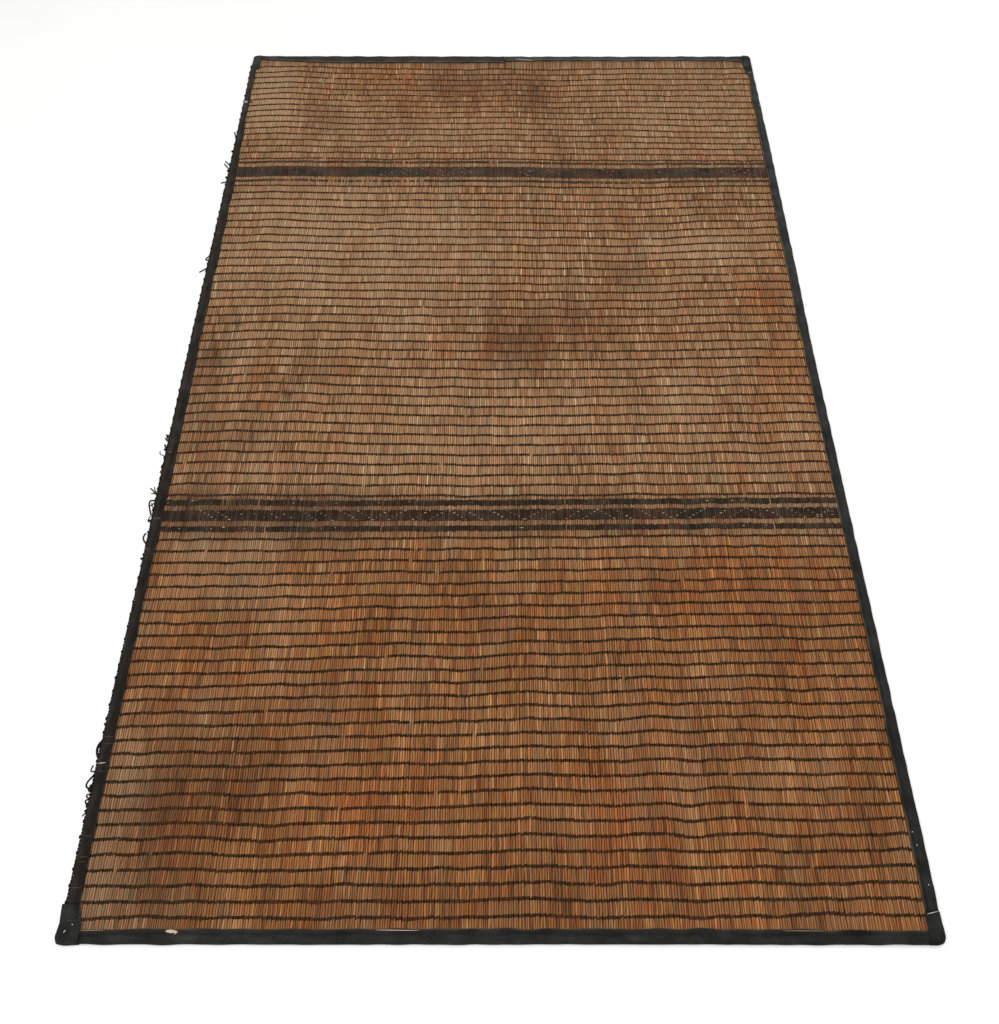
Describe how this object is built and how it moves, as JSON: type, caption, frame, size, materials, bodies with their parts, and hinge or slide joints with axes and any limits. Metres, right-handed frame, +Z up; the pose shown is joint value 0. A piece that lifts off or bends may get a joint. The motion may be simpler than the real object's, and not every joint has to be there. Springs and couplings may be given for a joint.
{
  "type": "reed and leather mat",
  "caption": "Flat rectangular reed floor mat with twined leather rows, two woven leather bands and a folded cloth tape round its edges.",
  "frame": {"origin": "on the floor, under the middle of the whole mat with its fringe remains", "axes": "+X across the stalks, with the fringe remains on the -X side; +Y along the stalks, towards the edge with the wider band; +Z up, out of the mat's face"},
  "size_m": [1.112, 1.95, 0.0071],
  "materials": {
    "reed": "dry straw stalks, satin, stained in patches",
    "leather": "thin dark goat leather cut in thongs, matt and worn",
    "cloth_tape": "plain woven cotton tape, faded charcoal, matt"
  },
  "bodies": {
    "root": {"reed_sheet": "reed", "upper_band_far_stripe": "leather", "upper_band": "leather", "upper_band_near_stripe": "leather", "lower_band_far_stripe": "leather", "lower_band": "leather", "lower_band_near_stripe": "leather", "tape_left": "cloth_tape", "tape_right": "cloth_tape", "tape_far_left": "cloth_tape", "tape_far_right": "cloth_tape", "tape_near": "cloth_tape", "corner_far_left": "cloth_tape", "corner_far_right": "cloth_tape", "corner_near_right": "cloth_tape", "corner_near_left": "cloth_tape", "left_fringe": "leather"}
  },
  "joints": []
}
